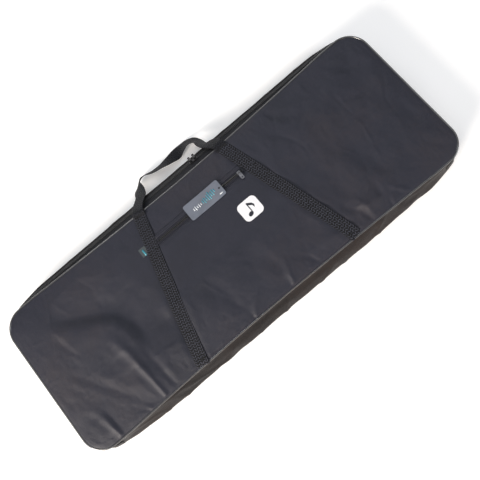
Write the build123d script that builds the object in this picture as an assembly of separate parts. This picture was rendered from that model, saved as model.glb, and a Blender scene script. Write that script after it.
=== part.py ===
from build123d import *
import math
import os

# Padded gig bag lying on its back: X along the bag, +Y towards the carry handles,
# +Z up through the pocket side. Origin: centre of the back panel on its rest plane.
# All dimensions in millimetres.

LENGTH = 1040.0            # overall length at the seams
SEAM_WIDTH = 368.0         # width between the long seams
CORNER = 50.0              # plan radius of the bag's corners
Z_BACK_SEAM = 6.0          # height of the back piping
Z_FRONT_SEAM = 70.0        # height of the front piping
Z_MID = 38.0               # height at which the gussets bulge most
BULGE_HANDLE = 28.0        # outward bulge of the zipped long side
BULGE_HINGE = 17.0         # outward bulge of the hinged long side
HINGE_HALF = 470.0         # half length of the fabric hinge between the corners
GAP = 0.3                  # clearance between neighbouring pieces

PIPING_R = 2.2
COVER_T = 1.2              # outer shell fabric
FOAM_IN, FOAM_OUT = 6.2, 1.3
LINING_IN, LINING_OUT = 7.1, 6.3
PANEL_INSET = 2.5          # flat panels stop this far inside the seam line
PANEL_TOP = 76.5           # outer surface of the front panel

WEB_T = 1.5                # webbing thickness
WEB_WIDTH_X = 31.6         # strap width measured along X
STRAP_X_TOP = 119.0        # strap centre at the handle seam
STRAP_SLOPE = 94.0 / 353.0  # strap centres spread by this much per millimetre

ZIP_CENTRE_Z = 58.05       # height of the main chain's centre line
ZIP_BASE_Z = (54.9, 57.4)
ZIP_LID_Z = (58.7, 61.2)
SLIDER_A_X = 48.0
SLIDER_B_X = 60.0

POCKET_ZIP_Y = 95.4        # pocket chain centre line
POCKET_ZIP_X = 123.5       # half length of the pocket opening
POCKET_SLIDER_X = 112.0
POCKET_BAR = 6.4           # height of the pocket pull's bar above the panel

HANDLE_AXIS = (184.0, PANEL_TOP + 2.2)
BACK_HANDLE_AXIS = (187.5, 1.3)
HANDLE_T = 2.0
GRIP_Y = (241.0, 268.0)    # plan span of the front grip
BACK_GRIP_Y = (195.0, 221.0)


def outline(z, inset):
    """Plan section of the bag at height z, moved inwards by inset."""
    bulge = 1.0 - abs(z - Z_MID) / (Z_MID - Z_BACK_SEAM)
    y_high = SEAM_WIDTH / 2 + BULGE_HANDLE * bulge - inset
    y_low = -SEAM_WIDTH / 2 - BULGE_HINGE * bulge + inset
    face = RectangleRounded(LENGTH - 2 * inset, y_high - y_low, CORNER - inset)
    return Pos(0, (y_high + y_low) / 2, z) * face


def bag_solid(z0, z1, inset):
    """Solid that fills the bag between two heights."""
    heights = [z0, z1]
    if z0 < Z_MID < z1:
        heights = [z0, Z_MID, z1]
    return loft([outline(z, inset) for z in heights], ruled=True)


def wall(z0, z1, inset_out, inset_in):
    """One layer of the bulging side wall, all the way round."""
    outer = bag_solid(z0, z1, inset_out)
    inner = bag_solid(z0 - 1, z1 + 1, inset_in)
    return outer - inner


def hinge_zone(half):
    return Pos(0, -200, 40) * Box(2 * half, 160, 200)


def hinge_side(part):
    return part & hinge_zone(HINGE_HALF)


def zip_sides(part):
    return part - hinge_zone(HINGE_HALF + GAP)


def slab(z0, z1, inset):
    """Flat layer of a large panel, following the seam outline."""
    face = RectangleRounded(LENGTH - 2 * inset, SEAM_WIDTH - 2 * inset, CORNER - inset)
    return extrude(Pos(0, 0, z0) * face, z1 - z0)


def ring(z0, z1, inset_out, inset_in):
    return slab(z0, z1, inset_out) - slab(z0 - 1, z1 + 1, inset_in)


def polygon(points, z0, z1):
    face = make_face(Polyline(*points, close=True))
    return extrude(Pos(0, 0, z0) * face, z1 - z0)


def strap_x(y):
    """Distance of a strap's centre line from the middle of the bag."""
    return STRAP_X_TOP + (180.0 - y) * STRAP_SLOPE


def strap(side, z0, z1, margin=0.0):
    half = WEB_WIDTH_X / 2 + margin
    y_top, y_low = 178.0 + margin, -177.0 - margin
    points = [
        (side * (strap_x(y_top) - half), y_top),
        (side * (strap_x(y_top) + half), y_top),
        (side * (strap_x(y_low) + half), y_low),
        (side * (strap_x(y_low) - half), y_low),
    ]
    return polygon(points, z0, z1)


def piping(z):
    """Round cord sewn into a seam."""
    face = RectangleRounded(LENGTH, SEAM_WIDTH, CORNER)
    path = (Pos(0, 0, z) * face).face().outer_wire()
    start = path @ 0
    profile = Plane(start, z_dir=path % 0) * Circle(PIPING_R)
    return sweep(profile, path=path)


# ---- base: back panel and side walls ------------------------------------------------

def back_cover():
    outer = slab(0, 8.0, PANEL_INSET)
    outer = fillet(outer.edges().group_by(Axis.Z)[0], 3.0)
    tray = outer - slab(1.6, 9.0, PANEL_INSET + COVER_T)
    for side in (-1, 1):
        tray -= strap(side, -1, 1.3, margin=0.15)
    return tray


def zip_end_tabs():
    """Fabric tabs that cover both ends of the main chain."""
    band = wall(46.0, 57.4, -2.4, -1.3)
    tabs = []
    for side in (-1, 1):
        tabs.append(band & Pos(side * 470, -200, 50) * Box(16, 60, 60))
    return Compound(children=[tab.solid() for tab in tabs])


# ---- lid: front panel with pocket ------------------------------------------------------

def front_cover():
    outer = slab(69.0, PANEL_TOP, PANEL_INSET)
    outer = fillet(outer.edges().group_by(Axis.Z)[-1], 5.0)
    inner = slab(68.0, PANEL_TOP - 1.3, PANEL_INSET + COVER_T)
    return outer - fillet(inner.edges().group_by(Axis.Z)[-1], 3.8)


def front_foam():
    foam = slab(62.8, PANEL_TOP - 1.4, 4.0)
    return fillet(foam.edges().group_by(Axis.Z)[-1], 3.6)


def pocket_panel():
    points = []
    for y, side in ((88, -1), (88, 1), (-177, 1), (-177, -1)):
        points.append((side * (strap_x(y) + 8), y))
    return polygon(points, PANEL_TOP + 0.1, PANEL_TOP + 1.1)


def strips(y_spans, x_half, low, high):
    """Parallel strips along X, at heights above the panel, gathered into one piece."""
    made = []
    for y0, y1 in y_spans:
        centre = Pos(0, (y0 + y1) / 2, PANEL_TOP + (low + high) / 2)
        made.append(centre * Box(2 * x_half, y1 - y0, high - low))
    return Compound(children=[part.solid() for part in made])


def pocket_zip_tape():
    return strips([(88.4, 94.5), (96.3, 102.0)], POCKET_ZIP_X, 1.2, 1.8)


def pocket_coil():
    return strips([(92.9, 94.7), (96.1, 97.9)], POCKET_ZIP_X - 3, 1.9, 3.1)


def pocket_welt():
    return strips([(102.3, 112.0)], POCKET_ZIP_X - 3.2, 0.1, 1.8)


def pocket_zip_stops():
    made = []
    for side in (-1, 1):
        centre = Pos(side * (POCKET_ZIP_X - 1.7), POCKET_ZIP_Y, PANEL_TOP + 2.6)
        made.append(centre * Box(2.0, 5.0, 1.4))
    return Compound(children=[part.solid() for part in made])


def emblem():
    """Rounded badge in flat vinyl with a plain eighth note cut out of it."""
    head = Pos(-6, -10.5) * Rot(0, 0, 20) * Ellipse(6.6, 4.8)
    stem = Pos(-0.6, 2.5) * Rectangle(2.4, 26)
    flag_points = [(0.5, 15.5), (0.5, 8.5), (8, 3.5), (10, -4), (13, 3), (10, 9)]
    flag = make_face(Polyline(*flag_points, close=True))
    badge = RectangleRounded(50, 46, 11) - (head + stem + flag)
    return extrude(Pos(79.5, 15.4, PANEL_TOP + 1.2) * badge, 0.4)


def side_label():
    return Pos(-163.5, 98.5, PANEL_TOP + 0.4) * Box(17.0, 21.0, 0.6)


def strap_bartacks():
    """Dense stitch blocks that lock both ends of the front straps."""
    made = []
    for side in (-1, 1):
        for y in (171.0, -169.0):
            centre = Pos(side * strap_x(y), y, PANEL_TOP + 3.0)
            made.append(centre * Box(24.0, 6.0, 0.4))
    return Compound(children=[part.solid() for part in made])


# ---- handles -----------------------------------------------------------------------------

def handle_plan(y_start, y_leg, grip, x_start, x_leg):
    """Plan shape of a U handle, from its two feet out to its grip."""
    half = 15.0
    outer = [
        (-x_start - half, y_start),
        (-x_leg - half, y_leg),
        (-86.0, grip[1] - 14),
        (-70.0, grip[1]),
        (70.0, grip[1]),
        (86.0, grip[1] - 14),
        (x_leg + half, y_leg),
        (x_start + half, y_start),
    ]
    inner = [
        (x_start - half, y_start),
        (x_leg - half, y_leg),
        (62.0, grip[0]),
        (-62.0, grip[0]),
        (-x_leg + half, y_leg),
        (-x_start + half, y_start),
    ]
    return make_face(Polyline(*outer, *inner, close=True))


def front_handle():
    """Webbing loop that leaves the front seam, drops past the gusset and lies flat."""
    y0 = HANDLE_AXIS[0] - 1.0
    z_top = HANDLE_AXIS[1] + HANDLE_T / 2
    line = FilletPolyline(
        (0, y0, z_top),
        (0, 193, z_top),
        (0, 226, 46.0),
        (0, 240, 5.0),
        (0, 274, 5.0),
        radius=9,
    )
    profile = make_face(offset(line, amount=-HANDLE_T, side=Side.RIGHT, closed=True))
    ribbon = extrude(profile, 160, dir=(1, 0, 0), both=True)
    plan = handle_plan(y0, 214.0, GRIP_Y, 117.0, 90.0)
    return ribbon & extrude(Pos(0, 0, -5) * plan, 100)


def back_handle():
    plan = handle_plan(BACK_HANDLE_AXIS[0] + 1.0, 200.0, BACK_GRIP_Y, 117.0, 92.0)
    return extrude(Pos(0, 0, 0.3) * plan, HANDLE_T)


# ---- zip sliders ---------------------------------------------------------------------------

def bail(bar_w, foot_w, half):
    """Arch on a slider's top plate that holds the pull; its bar runs along local X."""
    bar = Pos(0, 0, bar_w) * Rot(0, 90, 0) * Cylinder(0.7, 2 * half + 1.4)
    height = bar_w + 0.7 - foot_w
    arch = bar
    for side in (-1, 1):
        arch += Pos(side * half, 0, foot_w + height / 2) * Box(1.4, 1.4, height)
    return arch


def main_slider():
    """Two-plate slider; local X along the chain, Z out of the bag's wall."""
    top = fillet((Pos(0, 0, 1.7) * Box(11, 12.0, 1.0)).edges().filter_by(Axis.Z), 2.0)
    bottom = fillet((Pos(0, 0, -1.7) * Box(11, 10.4, 1.0)).edges().filter_by(Axis.Z), 2.0)
    body = top + bottom + Pos(0, 0.3, 0) * Box(2.4, 0.4, 3.0)
    for side in (-1, 1):
        body += Pos(0, side * 5.65, 0.9) * Box(7, 0.6, 1.0)
    return body + bail(4.6, 2.1, 2.9)


def pull(bar_w, length, width, eye_len):
    """Flat tab with a rolled eye, hanging along local Y from its bar."""
    eye = Rot(0, 90, 0) * Cylinder(1.8, eye_len)
    neck = Pos(0, 3.0, 0) * Box(eye_len, 4.4, 1.2)
    tab = Pos(0, 4.0 + length / 2, 0) * Box(width, length, 1.2)
    tab = fillet(tab.edges().filter_by(Axis.Z), width * 0.3)
    tab -= Pos(0, length - 0.5, 0) * Cylinder(1.5, 4)
    body = eye + neck + tab - Rot(0, 90, 0) * Cylinder(1.05, 30)
    return Pos(0, 0, bar_w) * body


def on_gusset(x, part):
    """Place a slider part on the zipped long side's sloping wall."""
    slope = math.hypot(BULGE_HANDLE, Z_FRONT_SEAM - Z_MID)
    normal = (0, (Z_FRONT_SEAM - Z_MID) / slope, BULGE_HANDLE / slope)
    drop = (Z_FRONT_SEAM - ZIP_CENTRE_Z) / (Z_FRONT_SEAM - Z_MID)
    y = SEAM_WIDTH / 2 + BULGE_HANDLE * drop
    return Plane((x, y, ZIP_CENTRE_Z), x_dir=(1, 0, 0), z_dir=normal) * part


def pocket_slider():
    top = fillet((Pos(0, 0, 3.7) * Box(8.4, 8.0, 0.8)).edges().filter_by(Axis.Z), 1.6)
    bottom = fillet((Pos(0, 0, 0.6) * Box(8.4, 7.0, 0.7)).edges().filter_by(Axis.Z), 1.6)
    body = top + bottom + Pos(0, 0, 2.2) * Box(1.6, 0.8, 3.0)
    body += bail(POCKET_BAR, 4.0, 2.7)
    return Pos(POCKET_SLIDER_X, POCKET_ZIP_Y, PANEL_TOP) * body


def pocket_pull():
    tab = Rot(180, 0, 0) * pull(0, 14.0, 8.0, 3.6)
    return Pos(POCKET_SLIDER_X, POCKET_ZIP_Y, PANEL_TOP + POCKET_BAR) * tab


TAG_CENTRE = (14.0, 97.5, PANEL_TOP + 4.6)
TAG_HOLE = (56.5, 97.5)


def hang_tag():
    card = Box(98.0, 40.5, 0.5)
    card = fillet(card.edges().filter_by(Axis.Z), 5.0)
    card = Pos(*TAG_CENTRE) * card
    return card - Pos(*TAG_HOLE, TAG_CENTRE[2]) * Cylinder(2.2, 4)


def hang_tag_loop():
    """Thin nylon fastener from the tag's hole to the pocket slider."""
    x0, x1 = TAG_HOLE[0], POCKET_SLIDER_X - 4.4
    z = TAG_CENTRE[2] + 1.2
    line = Line((x0, TAG_HOLE[1], z), (x1, POCKET_ZIP_Y, z + 0.6))
    thread = sweep(Plane(line @ 0, z_dir=line % 0) * Circle(0.45), path=line)
    post = Pos(x0, TAG_HOLE[1], TAG_CENTRE[2] + 0.4) * Cylinder(0.45, 2.0)
    foot = Pos(x0, TAG_HOLE[1], TAG_CENTRE[2] - 0.75) * Box(0.7, 6.0, 0.5)
    return thread + post + foot


def build():
    parts = {
        "back_cover": back_cover(),
        "back_foam": slab(1.7, 9.7, 4.0),
        "back_lining": slab(9.8, 10.6, 4.0),
        "back_binding": ring(10.7, 12.3, 7.4, 12.4),
        "back_piping": piping(Z_BACK_SEAM),
        "hinge_gusset_cover": hinge_side(wall(8.5, 67.5, 0, COVER_T)),
        "hinge_gusset_foam": hinge_side(wall(12.6, 55.0, FOAM_OUT, FOAM_IN)),
        "hinge_gusset_lining": hinge_side(wall(12.6, 55.0, LINING_OUT, LINING_IN)),
        "zip_gusset_cover": zip_sides(wall(8.5, 45.9, 0, COVER_T)),
        "zip_gusset_foam": zip_sides(wall(12.6, 44.0, FOAM_OUT, FOAM_IN)),
        "zip_gusset_lining": zip_sides(wall(12.6, 44.0, LINING_OUT, LINING_IN)),
        "zip_tape_base": zip_sides(wall(46.0, 57.0, 0.3, 1.1)),
        "zip_coil_base": zip_sides(wall(*ZIP_BASE_Z, -1.2, 0.2)),
        "zip_end_tabs": zip_end_tabs(),
        "front_cover": front_cover(),
        "front_foam": front_foam(),
        "front_lining": slab(61.9, 62.7, 4.0),
        "front_binding": ring(60.2, 61.8, 5.0, 10.0),
        "front_piping": piping(Z_FRONT_SEAM),
        "zip_tape_lid": zip_sides(wall(59.2, 67.5, 0.3, 1.1)),
        "zip_coil_lid": zip_sides(wall(*ZIP_LID_Z, -1.2, 0.2)),
        "pocket_panel": pocket_panel(),
        "pocket_zip_tape": pocket_zip_tape(),
        "pocket_coil": pocket_coil(),
        "pocket_welt": pocket_welt(),
        "pocket_zip_stops": pocket_zip_stops(),
        "emblem": emblem(),
        "side_label": side_label(),
        "strap_bartacks": strap_bartacks(),
        "front_handle": front_handle(),
        "back_handle": back_handle(),
        "main_slider_a": on_gusset(SLIDER_A_X, main_slider()),
        "main_slider_b": on_gusset(SLIDER_B_X, main_slider()),
        "main_pull_a": on_gusset(SLIDER_A_X, pull(4.6, 24.0, 6.0, 4.0)),
        "main_pull_b": on_gusset(SLIDER_B_X, pull(4.6, 24.0, 6.0, 4.0)),
        "pocket_slider": pocket_slider(),
        "pocket_pull": pocket_pull(),
        "hang_tag": hang_tag(),
        "hang_tag_loop": hang_tag_loop(),
    }
    for name, side in (("left", -1), ("right", 1)):
        parts["back_strap_" + name] = strap(side, 0, 1.2)
        parts["front_strap_" + name] = strap(side, PANEL_TOP + 1.2, PANEL_TOP + 1.2 + WEB_T)
    return parts


os.makedirs("parts", exist_ok=True)
for node, shape in build().items():
    export_step(shape, os.path.join("parts", node + ".step"))
    print(node, len(shape.solids()), round(shape.volume, 1))
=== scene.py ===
import math

import bmesh
import bpy
from mathutils import Matrix, Vector, noise
from mathutils.bvhtree import BVHTree


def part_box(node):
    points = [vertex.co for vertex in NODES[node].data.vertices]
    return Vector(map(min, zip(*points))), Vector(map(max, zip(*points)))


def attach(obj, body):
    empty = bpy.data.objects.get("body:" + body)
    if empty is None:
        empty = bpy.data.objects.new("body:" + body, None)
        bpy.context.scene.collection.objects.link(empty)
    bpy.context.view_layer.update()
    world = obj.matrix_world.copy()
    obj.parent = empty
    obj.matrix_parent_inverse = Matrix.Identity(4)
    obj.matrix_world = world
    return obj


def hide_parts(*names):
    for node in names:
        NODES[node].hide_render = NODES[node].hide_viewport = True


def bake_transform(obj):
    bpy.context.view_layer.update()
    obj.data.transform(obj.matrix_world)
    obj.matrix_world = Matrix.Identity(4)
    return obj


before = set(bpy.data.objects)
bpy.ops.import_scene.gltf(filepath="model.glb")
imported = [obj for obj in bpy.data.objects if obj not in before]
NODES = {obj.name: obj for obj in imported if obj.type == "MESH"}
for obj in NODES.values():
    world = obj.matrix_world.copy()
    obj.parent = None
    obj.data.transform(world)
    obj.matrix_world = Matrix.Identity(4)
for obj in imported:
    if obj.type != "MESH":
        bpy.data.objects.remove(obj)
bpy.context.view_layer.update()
MM = 0.001
TAU = 2 * math.pi

# Millimetres in the CAD's frame: x runs along the bag, y across it to the zipped side, z up.
HALF_L = 520.0       # half length at the seams
HALF_W = 184.0       # half width at the seams
CORNER = 50.0        # plan radius of the corners
Z_FRONT = 70.0       # front seam
Z_BACK = 6.0         # back seam
Z_MID = 38.0         # middle of the side walls
SLIDER_X = 54.0      # where the two main sliders meet
ZIP_Y = 95.4         # centre line of the pocket zip
ZIP_Z = 76.2         # panel height held flat under the pocket zip
TAG_Y = 96.0         # centre line of the hang tag's travel
TAG_NEAR = 58.0      # end of that travel with the pocket zip shut
TAG_FAR = -162.0     # and with it open
TAG_HOLD = 108.0     # fabric nearer than this to the travel stays low
TAG_FREE = 140.0     # and beyond this it is free
PANEL_LIMIT = 78.0   # greatest height of the panel under the tag
POCKET_LIMIT = 79.0  # and of the pocket's front
STRAP_DIP = 1.5      # how much lower both stay under the straps

# Metres, for the materials.
WEAVE = 0.0007       # thread pitch of the coated nylon
TWILL = 0.0011       # pitch of the tape's twill
LANE = 0.0050        # lane pitch of the webbing pattern
DASH = 0.0062        # dash pitch of the webbing pattern
RIB = 0.0019         # rib pitch along the webbing


# ---- camera and light
def new_object(name, data):
    obj = bpy.data.objects.new(name, data)
    bpy.context.collection.objects.link(obj)
    return obj


def area_light(name, place, size, power, colour, aim=(0, 0, 0)):
    data = bpy.data.lights.new(name, "AREA")
    data.shape = "RECTANGLE"
    data.size, data.size_y = size
    data.energy = power
    data.color = colour
    light = new_object(name, data)
    light.location = place
    direction = Vector(aim) - Vector(place)
    light.rotation_euler = direction.to_track_quat("-Z", "Y").to_euler()


# Camera at the photograph's viewing angle, fitted to the outline of the bag.
distance, azimuth = 1.429, math.radians(0.95)
elevation, roll = math.radians(76.8), math.radians(41.2)
camera = new_object("camera", bpy.data.cameras.new("camera"))
camera.data.sensor_width = 36.0
camera.data.lens = 48.75
turn = (Matrix.Rotation(azimuth, 4, "Z") @ Matrix.Rotation(math.pi / 2 - elevation, 4, "X")
        @ Matrix.Rotation(-roll, 4, "Z"))
target = Matrix.Translation((0.0173, -0.0214, 0.070))
camera.matrix_world = target @ turn @ Matrix.Translation((0, 0, distance))
bpy.context.scene.camera = camera

area_light("key", (-3.3, -1.25, 1.75), (1.4, 1.4), 235, (1.0, 0.91, 0.82))
area_light("window", (1.7, 2.3, 2.9), (2.2, 1.8), 17, (0.88, 0.94, 1.0))
area_light("top", (-0.3, 0.7, 3.4), (2.8, 2.2), 22, (0.95, 0.96, 1.0))
area_light("fill", (2.9, -2.2, 2.2), (1.6, 1.6), 52, (0.96, 0.97, 1.0))
area_light("low", (-0.25, -2.4, 0.5), (1.1, 0.5), 6, (1.0, 0.76, 0.55))
area_light("strip", (-0.35, 2.5, 1.5), (1.0, 0.4), 9, (0.95, 0.97, 1.0), aim=(-0.1, 0, 0))
bpy.context.scene.view_settings.view_transform = "Standard"
world = bpy.data.worlds.new("studio")
bpy.context.scene.world = world
world.use_nodes = True
background = world.node_tree.nodes["Background"]
background.inputs["Color"].default_value = (1, 1, 1, 1)
background.inputs["Strength"].default_value = 0.30


# ---- materials
class Shader:
    """Wires procedural nodes into a Principled material."""

    def __init__(self, name):
        self.material = bpy.data.materials.new(name)
        self.material.use_nodes = True
        self.tree = self.material.node_tree
        self.bsdf = self.tree.nodes["Principled BSDF"]

    def node(self, kind, **values):
        made = self.tree.nodes.new("ShaderNode" + kind)
        for key, value in values.items():
            setattr(made, key, value)
        return made

    def link(self, source, target):
        self.tree.links.new(source, target)

    def coords(self):
        return self.node("TexCoord").outputs["Object"]

    def attribute(self, name):
        return self.node("Attribute", attribute_name=name).outputs["Vector"]

    def split(self, vector):
        made = self.node("SeparateXYZ")
        self.link(vector, made.inputs[0])
        return made.outputs

    def math(self, operation, *values):
        made = self.node("Math", operation=operation)
        for value, target in zip(values, made.inputs):
            if isinstance(value, (int, float)):
                target.default_value = value
            else:
                self.link(value, target)
        return made.outputs[0]

    def noise(self, vector, scale, detail, rough):
        made = self.node("TexNoise")
        for key, value in (("Scale", scale), ("Detail", detail), ("Roughness", rough)):
            made.inputs[key].default_value = value
        self.link(vector, made.inputs["Vector"])
        return made.outputs["Fac"]

    def mixed(self, a, b, share):
        return self.math("ADD", self.math("MULTIPLY", a, share), self.math("MULTIPLY", b, 1 - share))

    def ramp(self, value, stops):
        made = self.node("ValToRGB")
        ramp = made.color_ramp
        while len(ramp.elements) < len(stops):
            ramp.elements.new(0.5)
        for element, (place, colour) in zip(ramp.elements, stops):
            element.position = place
            element.color = (*colour, 1)
        self.link(value, made.inputs[0])
        return made.outputs[0]

    def waves(self, value, pitch):
        """Rounded ridges of the given pitch in metres."""
        return self.math("ABSOLUTE", self.math("SINE", self.math("MULTIPLY", value, math.pi / pitch)))

    def colour(self, value, stops):
        self.link(self.ramp(value, stops), self.bsdf.inputs["Base Color"])

    def shades(self, value, colour, *stops):
        """Base colour: the colour times a factor, for (place, factor) stops of the value."""
        self.colour(value, [(place, scaled(colour, factor)) for place, factor in stops])

    def roughness(self, value, low, high):
        made = self.node("MapRange")
        made.inputs["To Min"].default_value = low
        made.inputs["To Max"].default_value = high
        self.link(value, made.inputs["Value"])
        self.link(made.outputs[0], self.bsdf.inputs["Roughness"])

    def bump(self, *layers):
        """layers are (height, distance in metres, strength), coarse first."""
        normal = None
        for height, distance, strength in layers:
            made = self.node("Bump")
            made.inputs["Distance"].default_value = distance
            made.inputs["Strength"].default_value = strength
            self.link(height, made.inputs["Height"])
            if normal:
                self.link(normal, made.inputs["Normal"])
            normal = made.outputs[0]
        self.link(normal, self.bsdf.inputs["Normal"])

    def plain(self, **values):
        """Sets inputs that are the same all over the surface, and gives the material."""
        names = {"spec": "Specular IOR Level", "sheen": "Sheen Weight", "sheen_rough": "Sheen Roughness",
                 "coat": "Coat Weight", "coat_rough": "Coat Roughness", "coat_ior": "Coat IOR",
                 "metal": "Metallic", "rough": "Roughness", "glow": "Emission Strength"}
        for key, value in values.items():
            self.bsdf.inputs[names[key]].default_value = value
        return self.material


def scaled(colour, factor):
    return tuple(channel * factor for channel in colour)


def woven(name, colour, wall=False, painted_shade=None, **look):
    """Coated plain-weave nylon. On walls the weave follows height and the run round the bag."""
    s = Shader(name)
    where = s.coords()
    x, y, z = s.split(where)
    run, rise = (s.math("ADD", x, y), z) if wall else (x, y)
    weave = s.math("MULTIPLY", s.waves(run, WEAVE), s.waves(rise, WEAVE))
    cloud = s.noise(where, 5.5, 5.0, 0.58)
    mottle = s.noise(where, 160.0, 2.0, 0.6)
    blend = s.mixed(cloud, mottle, 0.72)
    # The dark stop is a random darker tone, or painted shade in patches when that colour is given.
    dark = painted_shade or scaled(colour, 0.72)
    # The light stop of the colour ramp is a painted warm reflection, laid in random patches by the noise.
    warm_reflection = tuple(channel * share for channel, share in zip(colour, (1.55, 1.25, 1.0)))
    s.colour(blend, [(0.32, dark), (0.50, colour), (0.68, warm_reflection)])
    s.roughness(blend, 0.42, 0.58)
    crinkle = s.noise(where, 26.0, 4.0, 0.55)
    s.bump((crinkle, 0.0026, 0.34), (mottle, 0.0004, 0.3), (weave, 0.00018, 0.5))
    return s.plain(**look)


def webbing(name, colour, fleck):
    """Webbing of slanting dashes in lanes; the path attribute holds metres along and across."""
    s = Shader(name)
    path = s.attribute("path")
    along, across, _ = s.split(path)
    wobble = s.math("MULTIPLY", s.noise(path, 210.0, 2.0, 0.5), 0.0052)
    chevron = s.math("MULTIPLY", s.math("PINGPONG", across, LANE), 0.9)
    slanted = s.math("ADD", s.math("ADD", along, chevron), wobble)
    lanes = s.math("ADD", s.math("MULTIPLY", s.waves(across, LANE), 0.5), 0.5)
    dashes = s.math("MULTIPLY", s.waves(slanted, DASH), lanes)
    ribs = s.math("MULTIPLY", s.waves(along, RIB), s.waves(across, LANE / 3))
    fibre = s.noise(path, 520.0, 3.0, 0.65)
    mix = s.mixed(dashes, fibre, 0.62)
    s.shades(mix, colour, (0.28, 0.25), (0.50, 1), (0.74, fleck))
    s.roughness(mix, 0.8, 0.5)
    s.bump((dashes, 0.0007, 0.8), (ribs, 0.0005, 0.7), (fibre, 0.0002, 0.4))
    return s.plain(sheen=0.04, sheen_rough=0.45, spec=0.22)


def tape_material(name, colour, follows_path=True):
    """Herringbone twill along the path attribute, or in plan on a piece that has no path."""
    s = Shader(name)
    path = s.attribute("path") if follows_path else s.coords()
    along, across, _ = s.split(path)
    twill = s.waves(s.math("ADD", along, s.math("ABSOLUTE", across)), TWILL)
    fibre = s.noise(path, 700.0, 3.0, 0.6)
    mix = s.mixed(twill, fibre, 0.5)
    s.shades(mix, colour, (0.2, 0.6), (0.5, 1), (0.8, 1.45))
    s.roughness(mix, 0.8, 0.6)
    s.bump((twill, 0.0003, 0.7), (fibre, 0.0001, 0.4))
    return s.plain(sheen=0.05, spec=0.24)


def grained(name, colour, fine, broad, stops, rough, bump, broad_bump=None, **look):
    """Fine noise drives gloss and bump, broad noise the colour; each is (scale, detail, roughness)."""
    s = Shader(name)
    where = s.coords()
    grain = s.noise(where, *fine)
    cloud = s.noise(where, *broad) if broad else grain
    s.shades(cloud, colour, *stops)
    s.roughness(grain, *rough)
    layers = [(grain, *bump)]
    if broad_bump:
        layers.insert(0, (cloud, *broad_bump))
    s.bump(*layers)
    return s.plain(**look)


def vinyl(name, colour, rough):
    """Glossy piping with fine scuffs."""
    return grained(name, colour, (300.0, 4.0, 0.65), (30.0, 2.0, 0.5), [(0.3, 0.7), (0.7, 1.4)],
                   (rough, rough + 0.22), (0.00006, 0.2), (0.0004, 0.2),
                   coat=1.0, coat_rough=0.15, coat_ior=1.9, spec=0.5)


def nickel(name, colour, rough=0.28):
    """Cast metal, plated and a little tarnished."""
    return grained(name, colour, (420.0, 4.0, 0.6), (120.0, 3.0, 0.6), [(0.3, 0.55), (0.6, 1), (0.8, 1.2)],
                   (rough, rough + 0.2), (0.00015, 0.5), metal=1.0)


def brushed_lining(name, colour):
    """Brushed knit with a soft nap."""
    s = Shader(name)
    where = s.coords()
    nap = s.noise(where, 620.0, 4.0, 0.7)
    cloud = s.noise(where, 12.0, 3.0, 0.5)
    mix = s.mixed(nap, cloud, 0.5)
    s.shades(mix, colour, (0.3, 0.6), (0.55, 1), (0.75, 1.4))
    s.roughness(nap, 0.85, 0.98)
    s.bump((cloud, 0.003, 0.4), (nap, 0.0004, 0.6))
    return s.plain(sheen=0.16, sheen_rough=0.4, spec=0.2)


def card_material(name, colour):
    """Laminated card, or smooth ink on it."""
    return grained(name, colour, (260.0, 3.0, 0.6), (30.0, 2.0, 0.5), [(0.3, 0.85), (0.7, 1.15)],
                   (0.32, 0.5), (0.00008, 0.4), coat=0.25, coat_rough=0.25)


M_SHELL = woven("coated_nylon", (0.0110, 0.0122, 0.0235), sheen=0.05, sheen_rough=0.5, spec=0.40)
# The gusset is the same black nylon as the panels: its darker, browner colour is painted shade and painted
# warm reflection of the floor, and its dark patches are painted shade.
M_GUSSET = woven("gusset_nylon", (0.0114, 0.0087, 0.0089), wall=True, painted_shade=(0.0022, 0.0020, 0.0028),
                 sheen=0.04, sheen_rough=0.5, spec=0.24)
M_BACK = woven("back_nylon", (0.013, 0.013, 0.016), sheen=0.08, sheen_rough=0.5, spec=0.45)
M_WEB = webbing("ribbed_webbing", (0.0058, 0.0062, 0.0086), 7.0)
M_HANDLE = webbing("handle_webbing", (0.0062, 0.0072, 0.0110), 1.7)
M_TAPE = tape_material("zip_tape_weave", (0.0085, 0.0090, 0.0125))
M_POCKET_TAPE = tape_material("pocket_tape_weave", (0.012, 0.013, 0.020))
M_COIL = grained("zip_coil_nylon", (0.014, 0.015, 0.017), (500.0, 3.0, 0.6), None,
                 [(0.3, 0.6), (0.7, 1.4)], (0.35, 0.55), (0.0001, 0.4), spec=0.5)
M_PIPING = vinyl("piping_vinyl", (0.005, 0.005, 0.007), 0.26)
M_BINDING = tape_material("binding_weave", (0.009, 0.009, 0.010), follows_path=False)
M_NICKEL = nickel("dark_nickel", (0.20, 0.20, 0.215))
M_BLACKENED = nickel("blackened_metal", (0.045, 0.045, 0.05), 0.36)
M_LINING = brushed_lining("brushed_lining", (0.022, 0.022, 0.025))
M_WHITE = grained("white_print", (0.76, 0.77, 0.80), (900.0, 4.0, 0.7), None,
                  [(0.22, 0.45), (0.36, 1), (0.8, 1)], (0.4, 0.6), (0.0001, 0.3), spec=0.4)
M_CARD = card_material("tag_card", (0.108, 0.123, 0.158))
M_TEAL = card_material("tag_teal", (0.04, 0.26, 0.34))
M_PALE = card_material("tag_pale", (0.62, 0.66, 0.70))
M_LABEL = tape_material("label_weave", (0.055, 0.068, 0.074), follows_path=False)
M_THREAD = tape_material("bartack_thread", (0.010, 0.010, 0.011))
M_CLEAR = vinyl("smoke_nylon", (0.035, 0.036, 0.040), 0.3)
M_END = woven("tab_nylon", (0.014, 0.013, 0.013), wall=True, spec=0.4)


# ---- mesh tools
def smooth(a, b, x):
    """Eases from 0 at a to 1 at b; a may be the greater."""
    t = min(1.0, max(0.0, (x - a) / (b - a)))
    return t * t * (3 - 2 * t)


def gauss(d, w):
    """A bump of height 1 and half-width w."""
    return math.exp(-(d / w) ** 2)


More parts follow.
